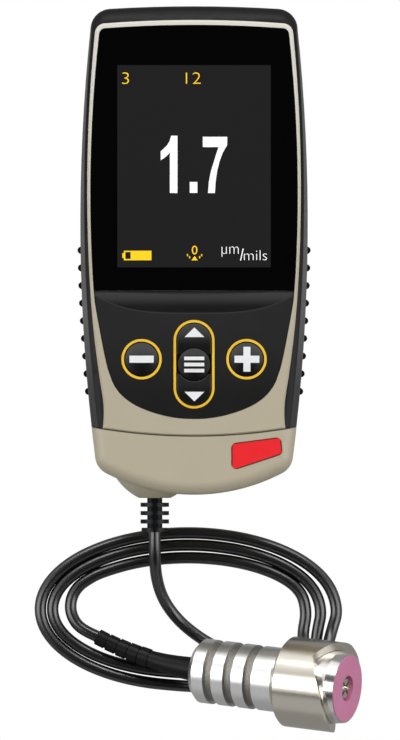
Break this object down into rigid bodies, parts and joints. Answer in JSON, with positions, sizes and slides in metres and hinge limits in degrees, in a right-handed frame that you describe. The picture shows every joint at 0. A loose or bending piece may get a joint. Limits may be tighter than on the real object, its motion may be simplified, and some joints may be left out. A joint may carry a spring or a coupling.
{
  "type": "surface profile gauge",
  "caption": "Handheld gauge with a display, press keys, a slide-on connector cap and a cabled probe with a sprung tip in a ceramic wear ring",
  "frame": {"origin": "centre of the rear housing's flat back, which rests on the table", "axes": "+Z out of the display face, away from the back; +Y towards the display end of the gauge; +X to the right of the display"},
  "size_m": [0.0883, 0.1952, 0.0389],
  "materials": {
    "rear_housing": "satin black rubber over moulding",
    "front_housing": "fine matt pale plastic",
    "display_lens": "glossy black window",
    "display_module": "dark display module",
    "keypad_fascia": "matt black plastic",
    "ring": "yellow plastic ring",
    "key": "satin black rubber",
    "keypad_sheet": "grey silicone",
    "switches": "switch bodies",
    "circuit_board": "green laminate",
    "screws": "plated steel",
    "sounder": "black plastic",
    "battery": "plain sleeve",
    "contacts": "sprung plated steel",
    "battery_door": "matt black plastic",
    "socket": "black plastic",
    "connector_cap": "fine matt pale plastic",
    "badge_plate": "red plate",
    "strain_relief": "black rubber",
    "cable": "smooth black jacket",
    "probe_boot": "black rubber",
    "probe_barrel": "turned, with bead-blasted grooves",
    "probe_head": "satin stainless steel",
    "probe_nose": "turned stainless steel",
    "wear_ring": "pink ceramic",
    "tip_holder": "bright turned steel",
    "probe_tip": "hard bright point",
    "probe_core": "plain steel sleeve"
  },
  "bodies": {
    "gauge": {"rear_housing": "rear_housing", "front_housing": "front_housing", "display_lens": "display_lens", "display_module": "display_module", "keypad_fascia": "keypad_fascia", "ring_minus": "ring", "ring_plus": "ring", "ring_pill": "ring", "keypad_sheet": "keypad_sheet", "key_switches": "switches", "circuit_board": "circuit_board", "board_screws": "screws", "case_screws": "screws", "sounder": "sounder", "battery_cell_1": "battery", "battery_cell_2": "battery", "battery_cell_3": "battery", "contact_plate_top": "contacts", "contact_plate_foot": "contacts", "body_socket": "socket"},
    "key_minus_body": {"key_minus": "key"},
    "key_plus_body": {"key_plus": "key"},
    "key_up_body": {"key_up": "key"},
    "key_menu_body": {"key_menu": "key"},
    "key_down_body": {"key_down": "key"},
    "door": {"battery_door": "battery_door"},
    "probe_lead": {"connector_cap": "connector_cap", "badge_plate": "badge_plate", "connector_plug": "socket", "strain_relief": "strain_relief", "cable_lead": "cable", "cable_coil": "cable", "cable_tail": "cable", "probe_boot": "probe_boot", "probe_barrel": "probe_barrel", "probe_head": "probe_head", "probe_nose": "probe_nose", "wear_ring": "wear_ring", "tip_holder": "tip_holder", "probe_core": "probe_core"},
    "tip": {"probe_tip": "probe_tip"}
  },
  "joints": [
    {"name": "key_minus_press", "type": "slide", "parent": "gauge", "child": "key_minus_body", "axis": [0, 0, -1], "range_m": [0, 0.0007], "stiffness_N_per_m": 2000},
    {"name": "key_plus_press", "type": "slide", "parent": "gauge", "child": "key_plus_body", "axis": [0, 0, -1], "range_m": [0, 0.0007], "stiffness_N_per_m": 2000},
    {"name": "key_up_press", "type": "slide", "parent": "gauge", "child": "key_up_body", "axis": [0, 0, -1], "range_m": [0, 0.0007], "stiffness_N_per_m": 2000},
    {"name": "key_menu_press", "type": "slide", "parent": "gauge", "child": "key_menu_body", "axis": [0, 0, -1], "range_m": [0, 0.0007], "stiffness_N_per_m": 2000},
    {"name": "key_down_press", "type": "slide", "parent": "gauge", "child": "key_down_body", "axis": [0, 0, -1], "range_m": [0, 0.0007], "stiffness_N_per_m": 2000},
    {"name": "battery_door_slide", "type": "slide", "parent": "gauge", "child": "door", "axis": [0, 1, 0], "range_m": [0, 0.03]},
    {"name": "probe_connector_slide", "type": "slide", "parent": "gauge", "child": "probe_lead", "axis": [0, -1, 0], "range_m": [0, 0.018]},
    {"name": "probe_tip_slide", "type": "slide", "parent": "probe_lead", "child": "tip", "axis": [-0.9003, 0.1042, -0.4226], "range_m": [0, 0.0005], "stiffness_N_per_m": 1500}
  ]
}
